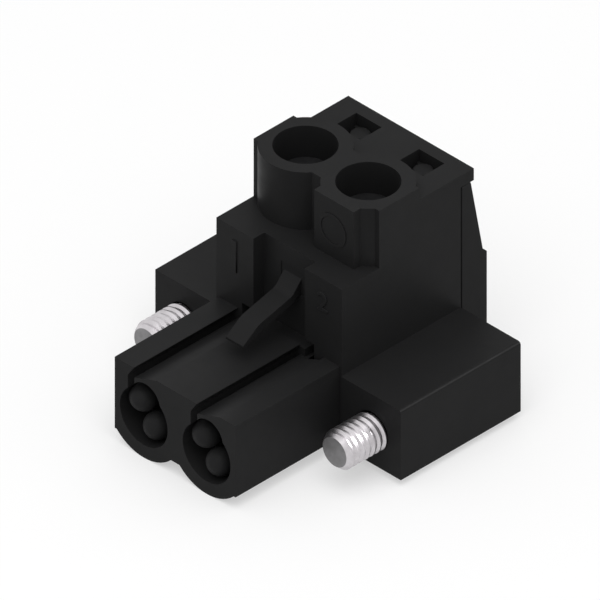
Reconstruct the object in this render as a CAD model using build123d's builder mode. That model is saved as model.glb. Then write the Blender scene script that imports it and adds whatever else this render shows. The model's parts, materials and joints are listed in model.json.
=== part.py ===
from build123d import *
import os

# Two-pole plug connector with screw flanges, in millimetres.
# X runs across the poles, the pins enter at -Y, the wires at +Y, and the clamp screws are reached from +Z.
# The origin lies midway between the poles and halfway along the length, on the surface it stands on.

os.makedirs("parts", exist_ok=True)

# Poles
pole_count = 2
pole_pitch = 5.08
pole_xs = [(index - (pole_count - 1) / 2) * pole_pitch for index in range(pole_count)]
body_half_width = pole_count * pole_pitch / 2

# Fits between the pieces
sliding_gap = 0.05
thread_gap = 0.12
seating_gap = 0.05
seam_gap = 0.1

# Clamp body
front_y = -1.67
seam_y = 7.94
ledge_z = 11.35
recess_half_width = 2.08
recess_back_y = -0.78
recess_floor_drop = 0.2
foot_notch_width = 0.74
foot_notch_inset = 0.28
foot_notch_height = 0.5
foot_notch_depth = 0.7

# Tower with the screwdriver bores
screw_y = 3.0
tower_top_z = 15.37
tower_radius = 2.75
web_front_y = 1.34
web_rear_y = 4.56
pad_half_width = 1.6
pad_front_y = 0.22
rear_top_z = 14.54
lip_thickness = 0.83
lip_overhang = 1.06
driver_bore_radius = 1.9

# Windows over the snap studs
window_half_width = 1.02
window_length = 1.73
window_past_seam = 0.19

# Mating end
mating_face_y = -10.08
mating_half_width = 4.89
mating_top_z = 5.9
mating_floor_z = 0.92
barrel_radius = 3.08
mouth_radius = 1.93
mouth_z = 2.82
lobe_radius = 1.17
lobe_offset = 0.14
lobe_z = 4.05
groove_left = -0.79
groove_undercut = -1.29
groove_undercut_z = 5.17
wedge_left = -0.76
wedge_left_z = 5.13
wedge_right = 1.08
wedge_end_gap = 0.35

# Latch arm, rooted in the recess and free above the mating end
latch_left = -0.55
latch_width = 1.4
latch_nose_y = -5.43
latch_nose_z = 7.15
latch_nose_thickness = 0.15
latch_ramp_y = -4.2
latch_ramp_z = 8.02
latch_heel_y = -1.45
latch_heel_z = 8.68
latch_root_z = 9.53
latch_thickness = 0.55
latch_root_thickness = 0.95
latch_bend_radius = 1.6
latch_heel_radius = 0.8
latch_pocket_depth = 0.06
latch_pocket_margin = 0.2
latch_pocket_rise = 0.52

# Screw flanges
flange_width = 4.85
flange_front_y = -1.76
flange_bottom_z = 0.48
flange_top_z = 5.33
flange_edge_radius = 0.5
flange_screw_offset = 2.54
flange_thread_radius = 1.25
flange_screw_reach = 3.05
flange_thread_run_in = 0.06
flange_tip_chamfer = 0.25
flange_web_y = 0.3
flange_web_length = 0.9
flange_neck_radius = 0.95
flange_head_radius = 1.8
flange_head_length = 1.7
flange_head_y = 3.4
flange_slot_width = 0.6
flange_slot_depth = 0.8

# Clamp screws
screw_head_radius = 1.65
screw_head_length = 1.8
screw_head_drop = 1.9
screw_head_chamfer = 0.15
screw_thread_radius = 1.5
screw_slot_width = 0.7
screw_slot_depth = 0.9
screw_slot_angle = 45
screw_hole_radius = 1.7

# Clamp chambers, current bars and yokes
chamber_front_y = 1.0
chamber_half_width = 2.05
chamber_floor_z = 1.1
bar_half_width = 1.15
bar_thickness = 0.6
bar_top_z = 5.35
bar_rear_y = 6.6
yoke_half_length = 1.85
yoke_wall = 0.38
yoke_floor = 0.75
yoke_crown = 1.9
yoke_travel = 1.8
yoke_corner = 0.35
wire_space = 2.8

# Socket contacts
socket_plate_y = 0.25
socket_plate_bottom_z = 1.3
arm_half_width = 0.9
arm_thickness = 0.4
arm_root_height = 1.43
pinch_gap = 0.8
upper_pinch_y = -7.8
lower_pinch_y = -7.1
nose_length = 0.5
nose_rounding = 0.25
nose_overlap = 0.15
upper_nose_radius = 0.95
upper_nose_offset = -0.42
upper_nose_z = 3.68
upper_nose_inset = 0.1
lower_nose_radius = 1.03
lower_nose_z = 1.95
lower_nose_inset = 0.68

# Rear cover with the wire funnels
cover_depth = 2.14
cover_step = 0.345
cover_step_z = 8.55
cover_top_depth = 0.825
cover_edge_radius = 0.06
funnel_mouth_radius = 2.2
funnel_length = 1.48
wire_hole_radius = 1.45
collar_length = 0.9
collar_top_z = 8.2
tongue_half_width = 0.65
tongue_reach = 1.34
tongue_bottom_z = 12.3
tongue_top_z = 13.2
stud_radius = 0.62
stud_before_seam = 0.52
stud_top_z = 14.0
stud_rounding = 0.12

# Places that follow from the sizes above
lip_bottom_z = rear_top_z - lip_thickness
lip_rear_y = seam_y + lip_overhang
window_rear_y = seam_y + window_past_seam
window_front_y = window_rear_y - window_length
cover_rear_y = seam_y + cover_depth
cover_step_y = cover_rear_y - cover_step
cover_top_y = seam_y + cover_top_depth
tongue_front_y = seam_y - tongue_reach
stud_y = seam_y - stud_before_seam
flange_outer_x = body_half_width + flange_width
flange_screw_x = body_half_width + flange_screw_offset
bar_bottom_z = bar_top_z - bar_thickness
yoke_floor_top_z = bar_bottom_z - wire_space
yoke_crown_bottom_z = bar_top_z + 2 * sliding_gap
yoke_crown_top_z = yoke_crown_bottom_z + yoke_crown
yoke_half_width = chamber_half_width - sliding_gap
chamber_top_z = yoke_crown_top_z + yoke_travel + 3 * sliding_gap
wire_z = yoke_floor_top_z + wire_space / 2
screw_head_top_z = tower_top_z - screw_head_drop
screw_head_bottom_z = screw_head_top_z - screw_head_length
driver_bore_floor_z = screw_head_bottom_z - 4 * sliding_gap
flange_bore_radius = flange_thread_radius + thread_gap
flange_head_end_y = flange_head_y + flange_head_length
flange_thread_end_y = flange_front_y + flange_thread_run_in
latch_right = latch_left + latch_width
latch_root_y = recess_back_y + latch_pocket_depth


def block(x_span, y_span, z_span, mode=Mode.ADD):
    """Adds or cuts a block that runs from one limit to the other along each axis."""
    spans = (x_span, y_span, z_span)
    with Locations(tuple((low + high) / 2 for low, high in spans)):
        Box(*(high - low for low, high in spans), mode=mode)


def facing_front(y):
    """Gives the upright plane at y, with sketch x along X and sketch y along Z, that extrudes towards -Y."""
    return Plane.XZ.offset(-y)


def facing_side(x):
    """Gives the upright plane at x, with sketch x along Y and sketch y along Z, that extrudes towards +X."""
    return Plane.YZ.offset(x)


def cavity_outline(mode=Mode.ADD):
    """Draws the openings of all poles: the round mouth and the smaller lobe above it."""
    with Locations(*[(x, mouth_z) for x in pole_xs]):
        Circle(mouth_radius, mode=mode)
    with Locations(*[(x + lobe_offset, lobe_z) for x in pole_xs]):
        Circle(lobe_radius, mode=mode)


def rounded_peg(radius, length, rounding):
    """Gives a round peg that stands on the origin along +Z, with its top edge rounded."""
    with BuildPart() as peg:
        with BuildSketch():
            Circle(radius)
        extrude(amount=length)
        fillet(peg.faces().sort_by(Axis.Z)[-1].edges(), radius=rounding)
    return peg.part


# Housing
with BuildPart() as housing:
    # Clamp body up to the ledge, and the tower's rear half under the lip
    block((-body_half_width, body_half_width), (front_y, seam_y), (0, ledge_z))
    block((-body_half_width, body_half_width), (screw_y, seam_y), (ledge_z, rear_top_z))
    block((-body_half_width, body_half_width), (seam_y, lip_rear_y), (lip_bottom_z, rear_top_z))

    # Tower round the screwdriver bores, flattened at the sides and in front of the last pole
    with BuildSketch(Plane.XY.offset(ledge_z)):
        with Locations(*[(x, screw_y) for x in pole_xs]):
            Circle(tower_radius)
        with Locations((0, (web_front_y + web_rear_y) / 2)):
            Rectangle(2 * body_half_width, web_rear_y - web_front_y)
        with Locations((pole_xs[-1], (pad_front_y + screw_y) / 2)):
            Rectangle(2 * pad_half_width, screw_y - pad_front_y)
        with Locations((0, screw_y)):
            Rectangle(2 * body_half_width, 4 * tower_radius, mode=Mode.INTERSECT)
    extrude(amount=tower_top_z - ledge_z)

    # Mating end with its two barrels
    with BuildSketch(facing_front(front_y)):
        with Locations((0, (mating_floor_z + mating_top_z) / 2)):
            Rectangle(2 * mating_half_width, mating_top_z - mating_floor_z)
        with Locations(*[(x, barrel_radius) for x in pole_xs]):
            Circle(barrel_radius)
        with Locations((0, mating_top_z / 2)):
            Rectangle(2 * mating_half_width, mating_top_z, mode=Mode.INTERSECT)
    extrude(amount=front_y - mating_face_y)

    # Screw flanges, the right one with a rounded outer edge
    for side in (-1, 1):
        inner_x, outer_x = side * body_half_width, side * flange_outer_x
        block(
            (min(inner_x, outer_x), max(inner_x, outer_x)),
            (flange_front_y, seam_y),
            (flange_bottom_z, flange_top_z),
        )
    right_edges = housing.edges().filter_by(Axis.Y).group_by(Axis.X)[-1]
    fillet(right_edges.sort_by(Axis.Z)[-1], radius=flange_edge_radius)

    # Recess between the two front blocks, and the shallow pocket round the latch arm's root
    block(
        (-recess_half_width, recess_half_width),
        (front_y, recess_back_y),
        (mating_top_z - recess_floor_drop, ledge_z),
        Mode.SUBTRACT,
    )
    block(
        (latch_left - latch_pocket_margin, latch_right + latch_pocket_margin),
        (recess_back_y, latch_root_y),
        (latch_root_z - latch_root_thickness - latch_pocket_margin, latch_root_z + latch_pocket_rise),
        Mode.SUBTRACT,
    )

    # Contact cavities from the mating face to the clamp chambers
    with BuildSketch(facing_front(chamber_front_y)):
        cavity_outline()
    extrude(amount=chamber_front_y - mating_face_y, mode=Mode.SUBTRACT)

    # Undercut grooves along the mating end, each with a slanted floor, open into its cavity
    with BuildSketch(facing_front(front_y)):
        for x in pole_xs:
            with BuildLine():
                Polyline(
                    (x + groove_left, mating_top_z),
                    (x + groove_undercut, groove_undercut_z),
                    (x + groove_undercut, lobe_z),
                    (x + wedge_left, lobe_z),
                    (x + wedge_left, wedge_left_z),
                    (x + wedge_right, mating_top_z),
                    close=True,
                )
            make_face()
    extrude(amount=front_y - mating_face_y, mode=Mode.SUBTRACT)
    for x in pole_xs:
        block(
            (x + wedge_left, x + wedge_right),
            (front_y - wedge_end_gap, front_y),
            (groove_undercut_z, mating_top_z),
            Mode.SUBTRACT,
        )
        block(
            (x + foot_notch_inset - foot_notch_width, x + foot_notch_inset),
            (front_y, front_y + foot_notch_depth),
            (groove_undercut_z, mating_top_z + foot_notch_height),
            Mode.SUBTRACT,
        )

    # Latch arm, falling in a curve from its root in the recess to the nose that rides over the header's wall
    with BuildSketch(facing_side(latch_left)):
        with BuildLine():
            FilletPolyline(
                (latch_nose_y, latch_nose_z),
                (latch_ramp_y, latch_ramp_z),
                (latch_heel_y, latch_heel_z),
                (latch_root_y, latch_root_z),
                radius=(latch_bend_radius, latch_heel_radius),
            )
            Polyline(
                (latch_root_y, latch_root_z),
                (latch_root_y + latch_root_thickness / 2, latch_root_z),
                (latch_root_y + latch_root_thickness / 2, latch_root_z - latch_root_thickness),
                (latch_root_y, latch_root_z - latch_root_thickness),
                (latch_heel_y, latch_heel_z - latch_thickness),
                (latch_ramp_y, latch_ramp_z - latch_thickness),
                (latch_nose_y, latch_nose_z - latch_nose_thickness),
                (latch_nose_y, latch_nose_z),
            )
        make_face()
    extrude(amount=latch_width)

    # Clamp chambers, open to the rear, and a slot in front of each for its contact's upright plate
    for x in pole_xs:
        block(
            (x - chamber_half_width, x + chamber_half_width),
            (chamber_front_y, seam_y),
            (chamber_floor_z, chamber_top_z),
            Mode.SUBTRACT,
        )
        block(
            (x - bar_half_width - seating_gap, x + bar_half_width + seating_gap),
            (socket_plate_y - seating_gap, chamber_front_y),
            (socket_plate_bottom_z - seating_gap, bar_top_z + seating_gap),
            Mode.SUBTRACT,
        )

    # Screwdriver bores, and the holes under them for the screws' threads
    with BuildSketch(Plane.XY.offset(tower_top_z)):
        with Locations(*[(x, screw_y) for x in pole_xs]):
            Circle(driver_bore_radius)
    extrude(amount=driver_bore_floor_z - tower_top_z, mode=Mode.SUBTRACT)
    with BuildSketch(Plane.XY.offset(driver_bore_floor_z)):
        with Locations(*[(x, screw_y) for x in pole_xs]):
            Circle(screw_hole_radius)
    extrude(amount=chamber_top_z - driver_bore_floor_z, mode=Mode.SUBTRACT)

    # Windows in the rear of the top, down to the clamp chambers
    for x in pole_xs:
        block(
            (x - window_half_width, x + window_half_width),
            (window_front_y, window_rear_y),
            (chamber_top_z, rear_top_z),
            Mode.SUBTRACT,
        )

    # Stepped bores through the flanges: thread in front, a web round the neck, the head at the rear
    for radius, start_y, end_y in (
        (flange_bore_radius, flange_front_y, flange_web_y),
        (flange_neck_radius + thread_gap, flange_web_y, flange_web_y + flange_web_length),
        (flange_bore_radius, flange_web_y + flange_web_length, flange_head_y),
        (flange_head_radius + thread_gap, flange_head_y, seam_y),
    ):
        with BuildSketch(facing_front(end_y)):
            with Locations((-flange_screw_x, mouth_z), (flange_screw_x, mouth_z)):
                Circle(radius)
        extrude(amount=end_y - start_y, mode=Mode.SUBTRACT)

housing.part.label = "housing"
export_step(housing.part, "parts/housing.step")

# Rear cover
with BuildPart() as rear_cover:
    with BuildSketch(facing_side(-body_half_width)):
        with BuildLine():
            Polyline(
                (seam_y, 0),
                (cover_rear_y, 0),
                (cover_rear_y, cover_step_z - (cover_rear_y - cover_step_y)),
                (cover_step_y, cover_step_z),
                (cover_top_y, lip_bottom_z - seating_gap),
                (seam_y, lip_bottom_z - seating_gap),
                close=True,
            )
        make_face()
    extrude(amount=2 * body_half_width)
    upright_edges = rear_cover.edges().filter_by(Axis.Z).group_by(Axis.Y)[-1]
    fillet(upright_edges, radius=cover_edge_radius)
    seam_edges = rear_cover.edges().filter_by(Axis.Z).group_by(Axis.Y)[0]
    chamfer(seam_edges, length=seam_gap)

    # Collars that close the clamp chambers, and tongues with round studs that snap into the windows
    for x in pole_xs:
        block(
            (x - chamber_half_width + seating_gap, x + chamber_half_width - seating_gap),
            (seam_y - collar_length, seam_y),
            (chamber_floor_z + seating_gap, collar_top_z),
        )
        block(
            (x - tongue_half_width, x + tongue_half_width),
            (tongue_front_y, cover_top_y - cover_edge_radius),
            (tongue_bottom_z, tongue_top_z),
        )
    with Locations(*[(x, stud_y, tongue_bottom_z) for x in pole_xs]):
        add(rounded_peg(stud_radius, stud_top_z - tongue_bottom_z, stud_rounding))

    # Wire holes with funnels
    with BuildSketch(facing_front(cover_rear_y)):
        with Locations(*[(x, wire_z) for x in pole_xs]):
            Circle(wire_hole_radius)
    extrude(amount=cover_rear_y - seam_y + collar_length, mode=Mode.SUBTRACT)
    for x in pole_xs:
        with BuildSketch(facing_front(cover_rear_y)):
            with Locations((x, wire_z)):
                Circle(funnel_mouth_radius)
        with BuildSketch(facing_front(cover_rear_y - funnel_length)):
            with Locations((x, wire_z)):
                Circle(wire_hole_radius)
        loft(mode=Mode.SUBTRACT)

rear_cover.part.label = "rear_cover"
export_step(rear_cover.part, "parts/rear_cover.step")

# Clamp screws, each with a slotted head and a thread that bears on the current bar
for number, x in enumerate(pole_xs, start=1):
    with BuildPart() as clamp_screw:
        with BuildSketch(Plane.XY.offset(bar_top_z)):
            with Locations((x, screw_y)):
                Circle(screw_thread_radius)
        extrude(amount=screw_head_bottom_z - bar_top_z)
        with BuildSketch(Plane.XY.offset(screw_head_bottom_z)):
            with Locations((x, screw_y)):
                Circle(screw_head_radius)
        extrude(amount=screw_head_length)
        chamfer(clamp_screw.edges().group_by(Axis.Z)[-1], length=screw_head_chamfer)
        chamfer(clamp_screw.edges().group_by(Axis.Z)[0], length=screw_head_chamfer)
        with Locations(Location((x, screw_y, screw_head_top_z), (0, 0, screw_slot_angle))):
            Box(3 * screw_head_radius, screw_slot_width, 2 * screw_slot_depth, mode=Mode.SUBTRACT)

    clamp_screw.part.label = f"clamp_screw_{number}"
    export_step(clamp_screw.part, f"parts/clamp_screw_{number}.step")

# Clamp yokes, each a closed loop round its current bar with a tapped crown
for number, x in enumerate(pole_xs, start=1):
    with BuildPart() as clamp_yoke:
        yoke_bottom_z = yoke_floor_top_z - yoke_floor
        block(
            (x - yoke_half_width, x + yoke_half_width),
            (screw_y - yoke_half_length, screw_y + yoke_half_length),
            (yoke_bottom_z, yoke_crown_top_z),
        )
        fillet(clamp_yoke.edges().filter_by(Axis.Y), radius=yoke_corner)
        block(
            (x - yoke_half_width + yoke_wall, x + yoke_half_width - yoke_wall),
            (screw_y - yoke_half_length, screw_y + yoke_half_length),
            (yoke_floor_top_z, yoke_crown_bottom_z),
            Mode.SUBTRACT,
        )
        with BuildSketch(Plane.XY.offset(yoke_crown_top_z)):
            with Locations((x, screw_y)):
                Circle(screw_thread_radius + thread_gap)
        extrude(amount=-yoke_crown, mode=Mode.SUBTRACT)

    clamp_yoke.part.label = f"clamp_yoke_{number}"
    export_step(clamp_yoke.part, f"parts/clamp_yoke_{number}.step")


def arm_outline(x, side, pinch_y, nose_y, nose_z):
    """Gives a contact arm's side view, from its plate to the pinch point and out again to its nose."""
    root_y = socket_plate_y + bar_thickness / 2
    root_z = mouth_z + side * arm_root_height
    pinch_z = mouth_z + side * (pinch_gap + arm_thickness) / 2
    with BuildSketch(facing_side(x - arm_half_width)) as outline:
        with BuildLine():
            Polyline((root_y, root_z), (pinch_y, pinch_z), (nose_y + nose_length - nose_overlap, nose_z))
        trace(line_width=arm_thickness)
    return outline.sketch


# Contacts, each a current bar, an upright plate and two spring arms with round noses
for number, x in enumerate(pole_xs, start=1):
    with BuildPart() as contact:
        block(
            (x - bar_half_width, x + bar_half_width), (socket_plate_y, bar_rear_y), (bar_bottom_z, bar_top_z)
        )
        block(
            (x - bar_half_width, x + bar_half_width),
            (socket_plate_y, socket_plate_y + bar_thickness),
            (socket_plate_bottom_z, bar_top_z),
        )
        upper_nose_y = mating_face_y + upper_nose_inset
        lower_nose_y = mating_face_y + lower_nose_inset
        extrude(arm_outline(x, 1, upper_pinch_y, upper_nose_y, upper_nose_z), amount=2 * arm_half_width)
        extrude(arm_outline(x, -1, lower_pinch_y, lower_nose_y, lower_nose_z), amount=2 * arm_half_width)
        upper_nose_x = x + upper_nose_offset
        with Locations(Plane((upper_nose_x, upper_nose_y + nose_length, upper_nose_z), z_dir=(0, -1, 0))):
            add(rounded_peg(upper_nose_radius, nose_length, nose_rounding))
        with Locations(Plane((x, lower_nose_y + nose_length, lower_nose_z), z_dir=(0, -1, 0))):
            add(rounded_peg(lower_nose_radius, nose_length, nose_rounding))

    contact.part.label = f"contact_{number}"
    export_step(contact.part, f"parts/contact_{number}.step")

# Flange screws, held captive by the neck between thread and head
for side, x in (("left", -flange_screw_x), ("right", flange_screw_x)):
    with BuildPart() as flange_screw:
        tip_y = flange_front_y - flange_screw_reach
        with BuildSketch(Plane.XY.offset(mouth_z)):
            with BuildLine():
                Polyline(
                    (x, tip_y),
                    (x + flange_thread_radius - flange_tip_chamfer, tip_y),
                    (x + flange_thread_radius, tip_y + flange_tip_chamfer),
                    (x + flange_thread_radius, flange_thread_end_y),
                    (x + flange_neck_radius, flange_thread_end_y),
                    (x + flange_neck_radius, flange_head_y + sliding_gap),
                    (x + flange_head_radius, flange_head_y + sliding_gap),
                    (x + flange_head_radius, flange_head_end_y),
                    (x, flange_head_end_y),
                    close=True,
                )
            make_face()
        revolve(axis=Axis((x, 0, mouth_z), (0, 1, 0)))
        chamfer(flange_screw.faces().sort_by(Axis.Y)[-1].edges(), length=flange_tip_chamfer)
        block(
            (x - 2 * flange_head_radius, x + 2 * flange_head_radius),
            (flange_head_end_y - flange_slot_depth, flange_head_end_y + flange_slot_depth),
            (mouth_z - flange_slot_width / 2, mouth_z + flange_slot_width / 2),
            Mode.SUBTRACT,
        )

    flange_screw.part.label = f"flange_screw_{side}"
    export_step(flange_screw.part, f"parts/flange_screw_{side}.step")
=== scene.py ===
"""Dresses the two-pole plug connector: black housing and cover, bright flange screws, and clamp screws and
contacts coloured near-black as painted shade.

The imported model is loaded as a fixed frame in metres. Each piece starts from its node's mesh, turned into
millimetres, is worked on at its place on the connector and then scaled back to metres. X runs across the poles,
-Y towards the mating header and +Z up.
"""

from __future__ import annotations

import json
import logging
import math
from dataclasses import dataclass, field
from enum import Enum
from typing import Any, Callable, Iterable

import bpy
from mathutils import Matrix, Vector

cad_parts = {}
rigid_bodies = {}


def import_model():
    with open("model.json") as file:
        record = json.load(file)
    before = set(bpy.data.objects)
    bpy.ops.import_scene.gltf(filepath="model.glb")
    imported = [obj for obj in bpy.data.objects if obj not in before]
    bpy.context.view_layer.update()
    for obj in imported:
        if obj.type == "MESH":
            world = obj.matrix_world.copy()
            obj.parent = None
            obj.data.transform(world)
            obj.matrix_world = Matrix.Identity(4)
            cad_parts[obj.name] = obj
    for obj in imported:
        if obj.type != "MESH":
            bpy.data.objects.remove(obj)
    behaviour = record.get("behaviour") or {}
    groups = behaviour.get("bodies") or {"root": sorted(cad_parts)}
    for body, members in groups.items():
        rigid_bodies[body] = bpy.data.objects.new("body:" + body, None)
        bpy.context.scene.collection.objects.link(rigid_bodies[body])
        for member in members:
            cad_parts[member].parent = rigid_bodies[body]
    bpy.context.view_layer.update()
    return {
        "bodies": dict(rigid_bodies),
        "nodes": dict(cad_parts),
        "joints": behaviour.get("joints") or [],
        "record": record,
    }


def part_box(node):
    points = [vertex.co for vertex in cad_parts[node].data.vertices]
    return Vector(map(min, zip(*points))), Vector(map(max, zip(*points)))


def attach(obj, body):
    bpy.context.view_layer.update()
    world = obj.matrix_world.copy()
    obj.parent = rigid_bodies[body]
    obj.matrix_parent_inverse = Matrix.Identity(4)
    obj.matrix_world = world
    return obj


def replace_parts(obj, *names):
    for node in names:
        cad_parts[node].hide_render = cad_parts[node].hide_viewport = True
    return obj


log = logging.getLogger("plug_connector")

Triple = tuple[float, float, float]
Socket = bpy.types.NodeSocket
Object = bpy.types.Object

MM = 0.001

# Points this close together become one, and faces this close in angle become one flat.
MERGE_MM = 1e-4
FLAT_DEGREES = 0.5

# How far a point may lie from where it is looked for.
FINE_MM = 0.005
CLOSE_MM = 0.01
COARSE_MM = 0.02


class Body(str, Enum):
    """The rigid bodies that pieces ride on."""

    PLUG = "plug"
    SCREW_1 = "screw_1"
    SCREW_2 = "screw_2"
    YOKE_1 = "yoke_1"
    YOKE_2 = "yoke_2"
    LEFT_FLANGE_SCREW = "left_flange_screw"
    RIGHT_FLANGE_SCREW = "right_flange_screw"


class Slot(str, Enum):
    """The record's material slots."""

    BLACK_PLASTIC = "black_plastic"
    # Slot for the clamp screws, whose near-black colour is painted shade.
    DARK_STEEL = "dark_steel"
    PLATED_BRASS = "plated_brass"
    # Slot for the contacts, whose near-black colour is painted shade.
    DARK_COPPER_ALLOY = "dark_copper_alloy"
    ZINC_PLATED_STEEL = "zinc_plated_steel"


def deselect_all() -> None:
    """Leaves nothing selected, so that the next operator touches only what it is meant to."""
    if bpy.context.mode != "OBJECT":
        bpy.ops.object.mode_set(mode="OBJECT")
    bpy.ops.object.select_all(action="DESELECT")


def activate(piece: Object) -> None:
    """Makes one object the only selected and the active one."""
    deselect_all()
    piece.select_set(True)
    bpy.context.view_layer.objects.active = piece


def open_for_editing(piece: Object, select: str = "VERT") -> None:
    """Enters edit mode on a piece with all of it selected.

    Args:
        piece: The object to edit.
        select: VERT, EDGE or FACE.
    """
    activate(piece)
    bpy.ops.object.mode_set(mode="EDIT")
    bpy.ops.mesh.select_mode(type=select)
    bpy.ops.mesh.select_all(action="SELECT")


def close_editing() -> None:
    """Goes back to object mode."""
    bpy.ops.object.mode_set(mode="OBJECT")


def select_points(piece: Object, test: Callable[[Vector], bool]) -> list[Vector]:
    """Selects, in edit mode, the points of a piece that pass a test.

    Args:
        piece: The piece, which may be in edit mode.
        test: Says whether a point is wanted, from its place.

    Returns:
        The places of the selected points.
    """
    activate(piece)
    mesh = piece.data
    for group in (mesh.polygons, mesh.edges, mesh.vertices):
        group.foreach_set("select", [False] * len(group))
    found = [vertex for vertex in mesh.vertices if test(vertex.co)]
    for vertex in found:
        vertex.select = True
    places = [vertex.co.copy() for vertex in found]
    bpy.ops.object.mode_set(mode="EDIT")
    bpy.ops.mesh.select_mode(type="VERT")
    return places


def select_faces(piece: Object, test: Callable[[Vector, Vector], bool]) -> None:
    """Selects, in edit mode, the faces of a piece that pass a test.

    Args:
        piece: The piece, which may be in edit mode.
        test: Says whether a face is wanted, from its centre and its normal.
    """
    open_for_editing(piece, select="FACE")
    bpy.ops.mesh.select_all(action="DESELECT")
    close_editing()
    for face in piece.data.polygons:
        face.select = test(face.center, face.normal)
    bpy.ops.object.mode_set(mode="EDIT")


def new_piece(name: str, mesh: bpy.types.Mesh) -> Object:
    """Links a mesh to the scene as an object of its own.

    Args:
        name: The piece's name.
        mesh: Its mesh, in millimetres.

    Returns:
        The new object, active and selected.
    """
    piece = bpy.data.objects.new(name, mesh)
    bpy.context.scene.collection.objects.link(piece)
    activate(piece)
    return piece


def apply_modifier(piece: Object, kind: str, **settings: Any) -> None:
    """Adds a modifier, sets it up and applies it.

    Args:
        piece: The object to modify.
        kind: Blender's name for the modifier's type.
        settings: The modifier's own properties.
    """
    activate(piece)
    modifier = piece.modifiers.new(kind.title(), kind)
    for key, value in settings.items():
        setattr(modifier, key, value)
    bpy.ops.object.modifier_apply(modifier=modifier.name)


def settle(piece: Object, body: Body, material: bpy.types.Material) -> None:
    """Scales a finished piece from millimetres to metres, and gives it its material and body.

    Args:
        piece: The finished object, at the origin, with its mesh in millimetres.
        body: The body it rides on.
        material: Its material.
    """
    activate(piece)
    bpy.ops.object.transform_apply(location=True, rotation=True, scale=True)
    piece.data.transform(Matrix.Scale(MM, 4))
    piece.data.materials.clear()
    piece.data.materials.append(material)
    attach(piece, body.value)
    log.info("%s: %d faces, on %s", piece.name, len(piece.data.polygons), body.value)


def join(piece: Object, others: Iterable[Object]) -> None:
    """Joins other objects to a piece."""
    deselect_all()
    for other in others:
        other.select_set(True)
    piece.select_set(True)
    bpy.context.view_layer.objects.active = piece
    bpy.ops.object.join()


def merged_copy(node: Object, name: str) -> Object:
    """Copies a CAD node, joins its loose triangles and turns its flat areas into single faces.

    Args:
        node: The CAD node.
        name: The new piece's name.

    Returns:
        The copy, in millimetres.
    """
    mesh = node.data.copy()
    mesh.transform(Matrix.Scale(1 / MM, 4))
    piece = new_piece(name, mesh)
    bpy.ops.mesh.customdata_custom_splitnormals_clear()
    open_for_editing(piece)
    bpy.ops.mesh.remove_doubles(threshold=MERGE_MM)
    bpy.ops.mesh.dissolve_limited(angle_limit=math.radians(FLAT_DEGREES))
    close_editing()
    return piece


@dataclass(frozen=True)
class EdgeFinish:
    """How a moulding's or a stamping's edges are broken.

    Attributes:
        width: The width of the rounded edge, in millimetres.
        segments: The number of faces across it.
        from_degrees: The smallest angle between two faces that counts as an edge.
    """

    width: float
    segments: int = 3
    from_degrees: float = 28.0

    def break_edges(self, piece: Object) -> None:
        """Rounds a piece's edges and smooths its curved faces, with its large flats left flat."""
        apply_modifier(
            piece,
            "BEVEL",
            width=self.width,
            segments=self.segments,
            limit_method="ANGLE",
            angle_limit=math.radians(self.from_degrees),
            offset_type="OFFSET",
            use_clamp_overlap=True,
            loop_slide=False,
        )
        bpy.ops.object.shade_smooth_by_angle(angle=math.radians(self.from_degrees))
        apply_modifier(piece, "WEIGHTED_NORMAL", mode="FACE_AREA", weight=50, keep_sharp=True)


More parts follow.
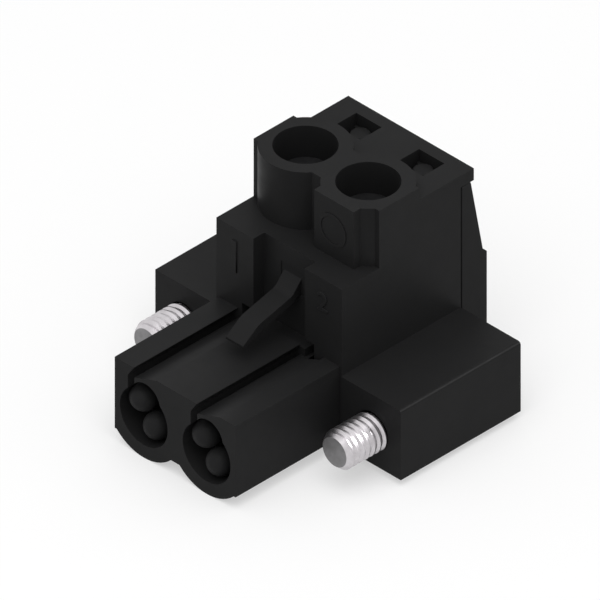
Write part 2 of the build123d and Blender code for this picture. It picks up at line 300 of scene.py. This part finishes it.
class Shader:
    """A small builder for one Principled material's node tree."""

    def __init__(self, name: str) -> None:
        """Starts a material with a Principled shader and Object coordinates."""
        self.material = bpy.data.materials.new(name)
        self.material.use_nodes = True
        self.nodes = self.material.node_tree.nodes
        self.links = self.material.node_tree.links
        self.nodes.clear()
        self.output = self.nodes.new("ShaderNodeOutputMaterial")
        self.surface = self.nodes.new("ShaderNodeBsdfPrincipled")
        self.links.new(self.surface.outputs["BSDF"], self.output.inputs["Surface"])
        self.coordinates = self.nodes.new("ShaderNodeTexCoord").outputs["Object"]

    def set(self, **values: Any) -> None:
        """Sets the Principled shader's own sockets, named with underscores for spaces."""
        for key, value in values.items():
            self.surface.inputs[key.replace("_", " ")].default_value = value

    def stretched(self, scale: Triple) -> Socket:
        """Gives the coordinates stretched along each axis, to draw a grain or lay.

        Args:
            scale: The factor along X, Y and Z.

        Returns:
            The mapped coordinates' socket.
        """
        mapping = self.nodes.new("ShaderNodeMapping")
        mapping.inputs["Scale"].default_value = scale
        self.links.new(self.coordinates, mapping.inputs["Vector"])
        return mapping.outputs["Vector"]

    def noise(
        self, period_mm: float, detail: float = 3.0, roughness: float = 0.5, vector: Socket | None = None
    ) -> Socket:
        """Adds a noise pattern.

        Args:
            period_mm: The size of its features on the connector, in millimetres.
            detail: The number of finer layers.
            roughness: How strong the finer layers are.
            vector: The coordinates to use, or None for the plain ones.

        Returns:
            The pattern's value socket.
        """
        node = self.nodes.new("ShaderNodeTexNoise")
        node.inputs["Scale"].default_value = 1 / (period_mm * MM)
        node.inputs["Detail"].default_value = detail
        node.inputs["Roughness"].default_value = roughness
        self.links.new(vector or self.coordinates, node.inputs["Vector"])
        return node.outputs["Fac"]

    def span(self, value: Socket, low: float, high: float, onto: tuple[float, float]) -> Socket:
        """Maps a pattern's value from one range to another.

        Args:
            value: The pattern.
            low: The value that becomes the first of the new range.
            high: The value that becomes the last of it.
            onto: The new range.

        Returns:
            The mapped value's socket.
        """
        node = self.nodes.new("ShaderNodeMapRange")
        node.inputs["From Min"].default_value = low
        node.inputs["From Max"].default_value = high
        node.inputs["To Min"].default_value = onto[0]
        node.inputs["To Max"].default_value = onto[1]
        self.links.new(value, node.inputs["Value"])
        return node.outputs["Result"]

    def ramp(self, value: Socket, colours: Iterable[tuple[float, Triple]]) -> None:
        """Colours the surface by a pattern.

        Args:
            value: The pattern, from 0 to 1.
            colours: Pairs of a position and a linear colour.
        """
        node = self.nodes.new("ShaderNodeValToRGB")
        stops = list(colours)
        while len(node.color_ramp.elements) < len(stops):
            node.color_ramp.elements.new(0.5)
        for element, (position, colour) in zip(node.color_ramp.elements, stops):
            element.position = position
            element.color = (*colour, 1.0)
        self.links.new(value, node.inputs["Fac"])
        self.links.new(node.outputs["Color"], self.surface.inputs["Base Color"])

    def roughen(self, value: Socket) -> None:
        """Drives the surface's roughness by a pattern."""
        self.links.new(value, self.surface.inputs["Roughness"])

    def bump(self, layers: Iterable[tuple[Socket, float]]) -> None:
        """Adds relief, one layer on another.

        Args:
            layers: Pairs of a pattern and its height in micrometres.
        """
        normal = None
        for value, height_um in layers:
            node = self.nodes.new("ShaderNodeBump")
            node.inputs["Strength"].default_value = 1.0
            node.inputs["Distance"].default_value = height_um * 1e-6
            self.links.new(value, node.inputs["Height"])
            if normal is not None:
                self.links.new(normal, node.inputs["Normal"])
            normal = node.outputs["Normal"]
        if normal is not None:
            self.links.new(normal, self.surface.inputs["Normal"])


@dataclass(frozen=True)
class MouldedPlastic:
    """Black moulded polyamide: satin, with the fine grain of a spark-eroded mould and soft flow clouding.

    Attributes:
        deep: The darkest linear colour.
        pale: The palest linear colour.
        roughness: The range of its roughness.
        specular: The strength of its reflection.
        grain_mm: The size of the mould's grain.
        grain_um: The depth of that grain.
        cloud_mm: The size of the clouding.
        ripple_mm: The size of the surface's soft ripple.
        ripple_um: The depth of that ripple.
        polish_mm: The size of the patches of differing roughness.
    """

    deep: Triple = (0.0148, 0.0148, 0.0151)
    pale: Triple = (0.0168, 0.0168, 0.0171)
    roughness: tuple[float, float] = (0.42, 0.5)
    specular: float = 0.05
    grain_mm: float = 0.09
    grain_um: float = 1.6
    cloud_mm: float = 5.0
    ripple_mm: float = 2.4
    ripple_um: float = 3.0
    polish_mm: float = 0.8

    def material(self, name: str) -> bpy.types.Material:
        """Builds the material."""
        shader = Shader(name)
        shader.set(Specular_IOR_Level=self.specular)
        cloud = shader.noise(self.cloud_mm, detail=4.0, roughness=0.6)
        fine = shader.noise(self.grain_mm, detail=2.0)
        ripple = shader.noise(self.ripple_mm, detail=1.0)
        shader.ramp(cloud, ((0.3, self.deep), (0.72, self.pale)))
        shader.roughen(shader.span(shader.noise(self.polish_mm, detail=3.0), 0.3, 0.7, self.roughness))
        shader.bump(((ripple, self.ripple_um), (fine, self.grain_um)))
        return shader.material


@dataclass(frozen=True)
class Metal:
    """A metal surface with a lay of fine lines, tonal clouding and small stains.

    Attributes:
        dark: The darker linear colour.
        light: The lighter linear colour.
        roughness: The range of its roughness.
        lay: How the lines are stretched along X, Y and Z: a low value runs them along that axis.
        line_mm: The width of a line.
        line_um: Its depth.
        metallic: 1 for bare metal, less under a coat.
        specular: The strength of the coat's reflection.
        cloud_mm: The size of the clouding.
        cloud_um: The depth of the relief that goes with it.
        polish_mm: The size of the patches of differing roughness.
    """

    dark: Triple
    light: Triple
    roughness: tuple[float, float]
    lay: Triple = (1.0, 0.15, 1.0)
    line_mm: float = 0.05
    line_um: float = 0.5
    metallic: float = 1.0
    specular: float = 0.5
    cloud_mm: float = 0.9
    cloud_um: float = 2.0
    polish_mm: float = 0.3

    def material(self, name: str) -> bpy.types.Material:
        """Builds the material."""
        shader = Shader(name)
        shader.set(Metallic=self.metallic, Specular_IOR_Level=self.specular)
        cloud = shader.noise(self.cloud_mm, detail=4.0, roughness=0.6)
        lines = shader.noise(self.line_mm, detail=2.0, vector=shader.stretched(self.lay))
        shader.ramp(cloud, ((0.3, self.dark), (0.7, self.light)))
        shader.roughen(shader.span(shader.noise(self.polish_mm, detail=3.0), 0.3, 0.7, self.roughness))
        shader.bump(((lines, self.line_um), (cloud, self.cloud_um)))
        return shader.material


class Finishes:
    """The connector's materials: one for each slot of the record, and the screws' cut ends."""

    def __init__(self) -> None:
        """Builds them all."""
        # Painted shade: the clamp screws are coloured near-black because they sit in shade deep in their bores.
        # The dark colour stands in for that shade, not for a black finish.
        painted_shade_clamp_steel = Metal(
            dark=(0.014, 0.014, 0.0145),
            light=(0.022, 0.022, 0.023),
            roughness=(0.45, 0.6),
            metallic=0.3,
            specular=0.05,
        )
        plated = Metal(dark=(0.5, 0.48, 0.44), light=(0.62, 0.6, 0.55), roughness=(0.25, 0.4))
        # Painted shade: the contacts' noses are coloured near-black because they lie in shade inside the mouths.
        # A plated copper alloy would be bright, so this dark colour stands in for that shade.
        painted_shade_contact_metal = Metal(
            dark=(0.016, 0.016, 0.0165),
            light=(0.021, 0.021, 0.0215),
            roughness=(0.5, 0.6),
            metallic=0.15,
            specular=0.05,
        )
        zinc = Metal(dark=(0.48, 0.46, 0.475), light=(0.66, 0.635, 0.655), roughness=(0.3, 0.38))
        cut_end = Metal(
            dark=(0.2, 0.197, 0.2), light=(0.28, 0.275, 0.28), roughness=(0.4, 0.5), lay=(0.3, 1.0, 1.0)
        )
        self.by_slot: dict[Slot, bpy.types.Material] = {
            Slot.BLACK_PLASTIC: MouldedPlastic().material("moulded_black_plastic"),
            Slot.DARK_STEEL: painted_shade_clamp_steel.material("painted_shade_clamp_screw_steel"),
            Slot.PLATED_BRASS: plated.material("nickel_plated_brass"),
            Slot.DARK_COPPER_ALLOY: painted_shade_contact_metal.material("painted_shade_copper_alloy"),
            Slot.ZINC_PLATED_STEEL: zinc.material("zinc_plated_steel"),
        }
        self.cut_steel = cut_end.material("cut_steel_end")

    def __getitem__(self, slot: Slot) -> bpy.types.Material:
        """Gives a slot's material."""
        return self.by_slot[slot]


@dataclass
class Piece:
    """A piece taken over from its CAD node, with its edges rounded.

    Attributes:
        node: The CAD node's name.
        body: The body it rides on.
        slot: Its finish.
        kind: What follows the node's name in the piece's own name.
        edges: How its edges are broken.
    """

    node: str
    body: Body
    slot: Slot
    kind: str = "metal"
    edges: EdgeFinish = field(default_factory=lambda: EdgeFinish(0.03, segments=2))

    def build(self, nodes: dict[str, Object], finishes: Finishes) -> Object:
        """Builds the piece and puts it in its node's place.

        Args:
            nodes: The CAD nodes by name.
            finishes: The connector's materials.

        Returns:
            The finished piece.
        """
        piece = merged_copy(nodes[self.node], f"{self.node}_{self.kind}")
        self.refine(piece)
        self.edges.break_edges(piece)
        self.mark(piece)
        settle(piece, self.body, finishes[self.slot])
        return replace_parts(piece, self.node)

    def refine(self, piece: Object) -> None:
        """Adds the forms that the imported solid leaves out, before the edges are rounded."""

    def mark(self, piece: Object) -> None:
        """Adds raised marks, after the edges are rounded."""


@dataclass
class Moulding(Piece):
    """A moulded piece of the plug's fixed body, with its edges rounded a little more smoothly."""

    body: Body = Body.PLUG
    slot: Slot = Slot.BLACK_PLASTIC
    kind: str = "moulding"
    edges: EdgeFinish = field(default_factory=lambda: EdgeFinish(0.03))


@dataclass(frozen=True)
class RaisedNumber:
    """A plain raised number on a front face.

    Attributes:
        text: The number.
        place: The middle of the number, on the face.
        height: Its height.
        relief: How far it stands out.
        edge: How far its edge is rounded beyond that.
        figure_share: The height of a figure as a share of the font's size.
    """

    text: str
    place: Triple
    height: float
    relief: float = 0.06
    edge: float = 0.02
    figure_share: float = 0.73

    def model(self) -> Object:
        """Models the number, facing -Y."""
        deselect_all()
        bpy.ops.object.text_add()
        number = bpy.context.active_object
        number.data.body = self.text
        number.data.align_x = "CENTER"
        number.data.align_y = "CENTER"
        number.data.size = self.height / self.figure_share
        number.data.extrude = self.relief
        number.data.bevel_depth = self.edge
        number.data.bevel_resolution = 1
        bpy.ops.object.convert(target="MESH")
        number = bpy.context.active_object
        number.rotation_euler = (math.radians(90), 0, 0)
        number.location = self.place
        bpy.ops.object.transform_apply(location=True, rotation=True, scale=True)
        return number


@dataclass(frozen=True)
class RaisedRing:
    """A plain raised ring on a front face.

    Attributes:
        place: The ring's middle, on the face.
        radius: Its outer radius.
        width: The width of its band.
        relief: How far it stands out.
    """

    place: Triple
    radius: float = 1.1
    width: float = 0.2
    relief: float = 0.05

    def model(self) -> Object:
        """Models the ring from a disc, by an inset and an extrusion, facing -Y."""
        deselect_all()
        bpy.ops.mesh.primitive_circle_add(
            vertices=64,
            radius=self.radius,
            fill_type="NGON",
            location=self.place,
            rotation=(math.radians(90), 0, 0),
        )
        ring = bpy.context.active_object
        bpy.ops.object.transform_apply(location=True, rotation=True, scale=True)
        open_for_editing(ring, select="FACE")
        bpy.ops.mesh.inset(thickness=self.width)
        bpy.ops.mesh.delete(type="FACE")
        bpy.ops.mesh.select_all(action="SELECT")
        bpy.ops.mesh.extrude_region_move(TRANSFORM_OT_translate={"value": (0, -self.relief, 0)})
        bpy.ops.mesh.select_all(action="SELECT")
        bpy.ops.mesh.normals_make_consistent(inside=False)
        close_editing()
        return ring


@dataclass
class Housing(Moulding):
    """The housing, with its flange edge, the rims of its flange bores and its marks.

    Attributes:
        node: The CAD node's name.
        flange_ends: Where the right flange begins and ends along Y.
        flange_corner: Its outer top corner, as X and Z.
        solid_round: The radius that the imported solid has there.
        corner_round: The radius of the finished edge.
        bore_x: How far the flange bores lie from the middle.
        bore_z: Their height.
        bore_radius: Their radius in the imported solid.
        rim_radius: The radius of their finished rim.
        wedge_edge: The low edge of the wedge in each groove, as X beside the pole and Z.
        wedge_lift: How much higher that edge is on the finished housing.
        pole_x: How far the poles lie from the middle.
        numbers: The pole numbers.
        ring: The ring on the pad.
    """

    node: str = "housing"
    flange_ends: tuple[float, float] = (-1.76, 7.94)
    flange_corner: tuple[float, float] = (9.9299, 5.33)
    solid_round: float = 0.5
    corner_round: float = 0.2
    bore_x: float = 7.62
    bore_z: float = 2.82
    bore_radius: float = 1.37
    rim_radius: float = 1.27
    wedge_edge: tuple[float, float] = (-0.76, 5.13)
    wedge_lift: float = 0.1
    pole_x: float = 2.54
    numbers: tuple[RaisedNumber, ...] = (
        RaisedNumber("1", (-3.6, -1.67, 9.25), height=2.3),
        RaisedNumber("2", (3.55, -1.67, 9.68), height=1.3),
    )
    ring: RaisedRing = field(default_factory=lambda: RaisedRing((2.44, 0.22, 13.28)))

    def refine(self, piece: Object) -> None:
        """Lifts the wedges in the grooves, and tightens the right flange's edge and the flange bores' rims."""
        self.lift_wedges(piece)
        self.tighten_corner(piece)
        self.close_rims(piece)

    def lift_wedges(self, piece: Object) -> None:
        """Lifts the low edge of the wedge in each groove."""
        for pole in (-self.pole_x, self.pole_x):
            edge_x, edge_z = pole + self.wedge_edge[0], self.wedge_edge[1]
            select_points(
                piece, lambda co: abs(co.x - edge_x) < COARSE_MM and abs(co.z - edge_z) < COARSE_MM
            )
            bpy.ops.transform.translate(value=(0, 0, self.wedge_lift))
            close_editing()

    def tighten_corner(self, piece: Object) -> None:
        """Draws the right flange's rounded top edge out to a corner, and rounds it more tightly."""
        corner_x, corner_z = self.flange_corner
        for end in self.flange_ends:
            places = select_points(
                piece,
                lambda co: co.x > corner_x - self.solid_round - CLOSE_MM
                and corner_z - self.solid_round - CLOSE_MM < co.z < corner_z + CLOSE_MM
                and abs(co.y - end) < CLOSE_MM,
            )
            middle = sum(places, Vector()) / len(places)
            bpy.ops.mesh.merge(type="CENTER")
            bpy.ops.transform.translate(value=Vector((corner_x, end, corner_z)) - middle)
            close_editing()
        select_points(piece, lambda co: abs(co.x - corner_x) < FINE_MM and abs(co.z - corner_z) < FINE_MM)
        bpy.ops.mesh.select_mode(type="EDGE")
        bpy.ops.mesh.bevel(offset=self.corner_round, segments=5, affect="EDGES")
        close_editing()

    def close_rims(self, piece: Object) -> None:
        """Narrows the front rims of the flange bores."""
        shrink = self.rim_radius / self.bore_radius
        for x in (-self.bore_x, self.bore_x):
            select_points(
                piece,
                lambda co: abs(co.y - self.flange_ends[0]) < FINE_MM
                and abs(math.hypot(co.x - x, co.z - self.bore_z) - self.bore_radius) < COARSE_MM,
            )
            bpy.ops.transform.resize(
                value=(shrink, 1, shrink), center_override=(x, self.flange_ends[0], self.bore_z)
            )
            close_editing()

    def mark(self, piece: Object) -> None:
        """Joins the pole numbers and the ring to the housing."""
        join(piece, [number.model() for number in self.numbers] + [self.ring.model()])


@dataclass
class RearCover(Moulding):
    """The rear cover, with the narrow gap that shows as its seam against the housing.

    Attributes:
        node: The CAD node's name.
        seam_y: Where the cover meets the housing.
        gap_edge_x: How far the gap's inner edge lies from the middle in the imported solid.
        gap_depth_x: How far it lies from the middle in the finished cover.
    """

    node: str = "rear_cover"
    seam_y: float = 7.94
    gap_edge_x: float = 4.98
    gap_depth_x: float = 4.7

    def refine(self, piece: Object) -> None:
        """Deepens the gap beside the housing on both sides."""
        select_points(
            piece,
            lambda co: abs(co.y - self.seam_y) < FINE_MM and abs(abs(co.x) - self.gap_edge_x) < CLOSE_MM,
        )
        bpy.ops.transform.resize(value=(self.gap_depth_x / self.gap_edge_x, 1, 1), center_override=(0, 0, 0))
        close_editing()


@dataclass(frozen=True)
class Nose:
    """The round nose of a contact's spring arm.

    Attributes:
        offset_x: How far its middle lies beside the pole's axis.
        y: Its middle along the pin.
        z: The height of its middle.
        arm_z: The height of its arm where the nose begins.
        radius: Its radius.
    """

    offset_x: float
    y: float
    z: float
    arm_z: float
    radius: float = 0.87


@dataclass
class Contact(Piece):
    """A contact, with the ends of its arms drawn out to round noses.

    Attributes:
        pole_x: The pole's place.
        cut_y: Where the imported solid's plain ends, in front of it, are taken off.
        noses: The two noses.
        arm_band: How far above or below its stated height an arm's cut face may lie.
        arm_short: How far behind the nose's middle the drawn-out arm ends.
        arm_taper: The width of its end beside the width of its beginning.
        nose_length: The nose's length along the pin, as a share of its thickness.
    """

    pole_x: float = 0.0
    cut_y: float = -8.5
    noses: tuple[Nose, Nose] = (Nose(-0.85, -9.2, 3.41, 3.52), Nose(0.25, -9.19, 1.96, 2.03))
    arm_band: float = 0.3
    arm_short: float = 0.4
    arm_taper: float = 0.5
    nose_length: float = 0.98

    def refine(self, piece: Object) -> None:
        """Cuts the arms' plain ends off, draws each arm out towards its nose and adds the nose."""
        open_for_editing(piece)
        bpy.ops.mesh.bisect(plane_co=(0, self.cut_y, 0), plane_no=(0, 1, 0), use_fill=True, clear_inner=True)
        close_editing()
        for nose in self.noses:
            select_faces(
                piece,
                lambda centre, normal: abs(centre.y - self.cut_y) < CLOSE_MM
                and abs(centre.z - nose.arm_z) < self.arm_band,
            )
            arm_end = (self.pole_x + nose.offset_x, nose.y + self.arm_short, nose.z)
            middle = (arm_end[0], nose.y, nose.z)
            bpy.ops.mesh.extrude_region_move(
                TRANSFORM_OT_translate={"value": (nose.offset_x, arm_end[1] - self.cut_y, nose.z - nose.arm_z)}
            )
            bpy.ops.transform.resize(value=(self.arm_taper, 1, 1), center_override=arm_end)
            bpy.ops.mesh.primitive_uv_sphere_add(segments=40, ring_count=20, radius=nose.radius, location=middle)
            bpy.ops.transform.resize(value=(1, self.nose_length, 1), center_override=middle)
            close_editing()


@dataclass(frozen=True)
class ScrewThread:
    """A rolled metric thread, modelled as one helical ridge round its core.

    Attributes:
        radius: The outer radius.
        pitch: The rise in one turn.
        depth: The height of the ridge.
        crest: The flat on the ridge, as a share of the pitch.
        root: The flat between ridges, as a share of the pitch.
        steps: The number of faces in one turn.
    """

    radius: float
    pitch: float
    depth: float
    crest: float = 0.18
    root: float = 0.2
    steps: int = 72

    def rod(self, name: str, length: float, tip_chamfer: float) -> Object:
        """Models a threaded rod along +Z, from its flat tip at z 0 to its cut end.

        Args:
            name: The object's name.
            length: The rod's length.
            tip_chamfer: How much smaller the tip's flat is than the thread, in radius.

        Returns:
            The rod, closed at both ends.
        """
        turns = math.ceil(length / self.pitch) + 2
        flank = (1 - self.crest - self.root) / 2
        stations = (0.0, self.root, self.root + flank, self.root + flank + self.crest, 1.0)
        radii = (self.radius - self.depth,) * 2 + (self.radius,) * 2 + (self.radius - self.depth,)
        outline = [
            (radius, 0.0, station * self.pitch - self.pitch) for radius, station in zip(radii, stations)
        ]
        mesh = bpy.data.meshes.new(name)
        mesh.from_pydata(outline, [(i, i + 1) for i in range(len(outline) - 1)], [])
        rod = new_piece(name, mesh)
        apply_modifier(
            rod,
            "SCREW",
            axis="Z",
            angle=math.tau,
            screw_offset=self.pitch,
            iterations=turns,
            steps=self.steps,
            render_steps=self.steps,
            use_merge_vertices=True,
            merge_threshold=MERGE_MM,
        )
        open_for_editing(rod)
        bpy.ops.mesh.remove_doubles(threshold=MERGE_MM)
        bpy.ops.mesh.select_all(action="SELECT")
        bpy.ops.mesh.bisect(plane_co=(0, 0, 0), plane_no=(0, 0, 1), use_fill=True, clear_inner=True)
        bpy.ops.mesh.select_all(action="SELECT")
        bpy.ops.mesh.bisect(plane_co=(0, 0, length), plane_no=(0, 0, 1), use_fill=True, clear_outer=True)
        bpy.ops.mesh.select_all(action="SELECT")
        bpy.ops.mesh.normals_make_consistent(inside=False)
        close_editing()
        for vertex in rod.data.vertices:
            reach = math.hypot(vertex.co.x, vertex.co.y)
            allowed = self.radius - max(tip_chamfer - vertex.co.z, 0.0)
            if reach > allowed:
                vertex.co.x *= allowed / reach
                vertex.co.y *= allowed / reach
        return rod


@dataclass
class FlangeScrew:
    """A captive flange screw: threaded end, plain neck and slotted head.

    Attributes:
        side: left or right.
        body: The body it rides on.
        thread: Its thread.
        thread_end_y: Where the thread ends and the neck begins.
        tip_chamfer: How much smaller the tip's flat is, in radius.
        smooth_degrees: The smallest angle between two faces of the thread that shows as an edge.
        edges: How the head's edges are broken.
    """

    side: str
    body: Body
    thread: ScrewThread = field(default_factory=lambda: ScrewThread(radius=1.25, pitch=0.45, depth=0.15))
    thread_end_y: float = -1.7
    tip_chamfer: float = 0.29
    smooth_degrees: float = 32.0
    edges: EdgeFinish = field(default_factory=lambda: EdgeFinish(0.04, segments=2))

    def build(self, nodes: dict[str, Object], finishes: Finishes) -> Object:
        """Builds the screw and puts it in its node's place.

        Args:
            nodes: The CAD nodes by name.
            finishes: The connector's materials.

        Returns:
            The finished screw.
        """
        node = f"flange_screw_{self.side}"
        low, high = (Vector(corner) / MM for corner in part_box(node))
        screw = merged_copy(nodes[node], f"{node}_metal")
        open_for_editing(screw)
        bpy.ops.mesh.bisect(
            plane_co=(0, self.thread_end_y + CLOSE_MM, 0), plane_no=(0, 1, 0), use_fill=True, clear_inner=True
        )
        close_editing()
        self.edges.break_edges(screw)
        rod = self.thread.rod(f"{node}_thread", self.thread_end_y - low.y, self.tip_chamfer)
        centre = (low + high) / 2
        rod.rotation_euler = (math.radians(-90), 0, 0)
        rod.location = (centre.x, low.y, centre.z)
        activate(rod)
        bpy.ops.object.transform_apply(location=True, rotation=True, scale=True)
        bpy.ops.object.shade_smooth_by_angle(angle=math.radians(self.smooth_degrees))
        join(screw, [rod])
        settle(screw, self.body, finishes[Slot.ZINC_PLATED_STEEL])
        screw.data.materials.append(finishes.cut_steel)
        for face in screw.data.polygons:
            if face.normal.y < -0.99 and face.center.y < (low.y + CLOSE_MM) * MM:
                face.material_index = 1
        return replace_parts(screw, node)


@dataclass
class Studio:
    """The white studio: camera, lamps, world and floor.

    Attributes:
        pixels_per_mm: The photograph's scale.
        image_width: The photograph's width in pixels.
        azimuth: The camera's turn from looking along +Y, in degrees.
        elevation: Its height above the horizon, in degrees.
        aim_mm: The point that the photograph's middle looks at.
        distance: How far the camera stands off, in metres.
    """

    pixels_per_mm: float = 17.49
    image_width: int = 600
    azimuth: float = 45.0
    elevation: float = 35.264
    aim_mm: Triple = (0.008, 0.008, 7.27)
    distance: float = 0.3

    def camera(self) -> None:
        """Sets up the camera as the photograph was taken, without perspective."""
        data = bpy.data.cameras.new("camera")
        data.type = "ORTHO"
        data.ortho_scale = self.image_width / self.pixels_per_mm * MM
        data.clip_start = 0.001
        data.clip_end = 10.0
        camera = bpy.data.objects.new("camera", data)
        bpy.context.scene.collection.objects.link(camera)
        azimuth, elevation = math.radians(self.azimuth), math.radians(self.elevation)
        away = Vector((
            math.sin(azimuth) * math.cos(elevation),
            -math.cos(azimuth) * math.cos(elevation),
            math.sin(elevation),
        ))
        camera.location = Vector(self.aim_mm) * MM + away * self.distance
        camera.rotation_euler = (-away).to_track_quat("-Z", "Y").to_euler()
        bpy.context.scene.camera = camera

    def lamp(
        self, name: str, place: Triple, size: float, power: float, gloss_only: bool = False
    ) -> None:
        """Adds a soft square lamp that faces the connector.

        Args:
            name: The lamp's name.
            place: Where it hangs, in metres.
            size: The length of its sides, in metres.
            power: Its power, in watts.
            gloss_only: Whether it shows in the gloss alone.
        """
        data = bpy.data.lights.new(name, "AREA")
        data.size = size
        data.energy = power
        lamp = bpy.data.objects.new(name, data)
        lamp.location = place
        lamp.visible_diffuse = not gloss_only
        target = Vector(self.aim_mm) * MM
        lamp.rotation_euler = (target - Vector(place)).to_track_quat("-Z", "Y").to_euler()
        bpy.context.scene.collection.objects.link(lamp)

    def world(self, ambient: float) -> None:
        """Makes the world white to the eye and in reflections, and a soft grey light otherwise.

        Args:
            ambient: The strength of the light that it sheds.
        """
        world = bpy.data.worlds.new("studio")
        bpy.context.scene.world = world
        world.use_nodes = True
        nodes, links = world.node_tree.nodes, world.node_tree.links
        nodes.clear()
        output = nodes.new("ShaderNodeOutputWorld")
        mix = nodes.new("ShaderNodeMixShader")
        shed = nodes.new("ShaderNodeBackground")
        shed.inputs["Strength"].default_value = ambient
        shown = nodes.new("ShaderNodeBackground")
        shown.inputs["Color"].default_value = (1, 1, 1, 1)
        links.new(self.seen(nodes, links), mix.inputs["Fac"])
        links.new(shed.outputs["Background"], mix.inputs[1])
        links.new(shown.outputs["Background"], mix.inputs[2])
        links.new(mix.outputs["Shader"], output.inputs["Surface"])

    def seen(self, nodes: bpy.types.Nodes, links: bpy.types.NodeLinks) -> Socket:
        """Gives 1 for rays from the camera, off a gloss or through a clear surface, and 0 for the others."""
        path = nodes.new("ShaderNodeLightPath")
        total = path.outputs["Is Camera Ray"]
        for name in ("Is Glossy Ray", "Is Transmission Ray"):
            add = nodes.new("ShaderNodeMath")
            add.operation = "MAXIMUM"
            links.new(total, add.inputs[0])
            links.new(path.outputs[name], add.inputs[1])
            total = add.outputs["Value"]
        return total

    def floor(self, width: float, glow: float, paint: float) -> None:
        """Lays a white floor that keeps a faint shadow of the connector.

        Args:
            width: The length of its sides, in metres.
            glow: How much the floor is lifted towards white where it is seen.
            paint: The grey of its paint, which takes the shadow.
        """
        deselect_all()
        bpy.ops.mesh.primitive_plane_add(size=width, location=(0, 0, 0))
        floor = bpy.context.active_object
        floor.name = "floor"
        material = bpy.data.materials.new("floor_white")
        material.use_nodes = True
        nodes, links = material.node_tree.nodes, material.node_tree.links
        nodes.clear()
        output = nodes.new("ShaderNodeOutputMaterial")
        coat = nodes.new("ShaderNodeBsdfDiffuse")
        coat.inputs["Color"].default_value = (paint, paint, paint, 1)
        light = nodes.new("ShaderNodeEmission")
        strength = nodes.new("ShaderNodeMath")
        strength.operation = "MULTIPLY"
        strength.inputs[1].default_value = glow
        links.new(self.seen(nodes, links), strength.inputs[0])
        links.new(strength.outputs["Value"], light.inputs["Strength"])
        add = nodes.new("ShaderNodeAddShader")
        links.new(coat.outputs["BSDF"], add.inputs[0])
        links.new(light.outputs["Emission"], add.inputs[1])
        links.new(add.outputs["Shader"], output.inputs["Surface"])
        floor.data.materials.append(material)

    def build(self) -> None:
        """Sets up the whole studio."""
        bpy.context.scene.view_settings.view_transform = "Standard"
        self.camera()
        self.world(ambient=0.75)
        self.floor(width=4.0, glow=0.5, paint=0.5)
        self.lamp("key_lamp", (0.13, -0.14, 0.47), size=0.5, power=1.5)
        self.lamp("rim_lamp", (0.25, 0.25, 0.25), size=0.15, power=1.6, gloss_only=True)


class Connector:
    """The whole plug connector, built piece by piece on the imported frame."""

    def __init__(self, frame: dict[str, Any]) -> None:
        """Keeps the frame's nodes and builds the finishes."""
        self.nodes: dict[str, Object] = frame["nodes"]
        self.finishes = Finishes()

    def build(self) -> list[Object]:
        """Builds every piece.

        Returns:
            The finished pieces.
        """
        parts: list[Piece | FlangeScrew] = [
            Housing(),
            RearCover(),
            # The clamp screws take the near-black metal that paints in the shade of their bores.
            Piece("clamp_screw_1", Body.SCREW_1, Slot.DARK_STEEL),
            Piece("clamp_screw_2", Body.SCREW_2, Slot.DARK_STEEL),
            Piece("clamp_yoke_1", Body.YOKE_1, Slot.PLATED_BRASS),
            Piece("clamp_yoke_2", Body.YOKE_2, Slot.PLATED_BRASS),
            # The contacts take the near-black metal that paints in the shade of the mouths.
            Contact("contact_1", Body.PLUG, Slot.DARK_COPPER_ALLOY, pole_x=-2.54),
            Contact("contact_2", Body.PLUG, Slot.DARK_COPPER_ALLOY, pole_x=2.54),
            FlangeScrew("left", Body.LEFT_FLANGE_SCREW),
            FlangeScrew("right", Body.RIGHT_FLANGE_SCREW),
        ]
        return [part.build(self.nodes, self.finishes) for part in parts]


def main() -> None:
    """Loads the frame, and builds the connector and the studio."""
    logging.basicConfig(level=logging.INFO, format="%(name)s: %(message)s")
    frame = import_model()
    pieces = Connector(frame).build()
    log.info("%d pieces", len(pieces))
    Studio().build()


if __name__ == "__main__":
    main()
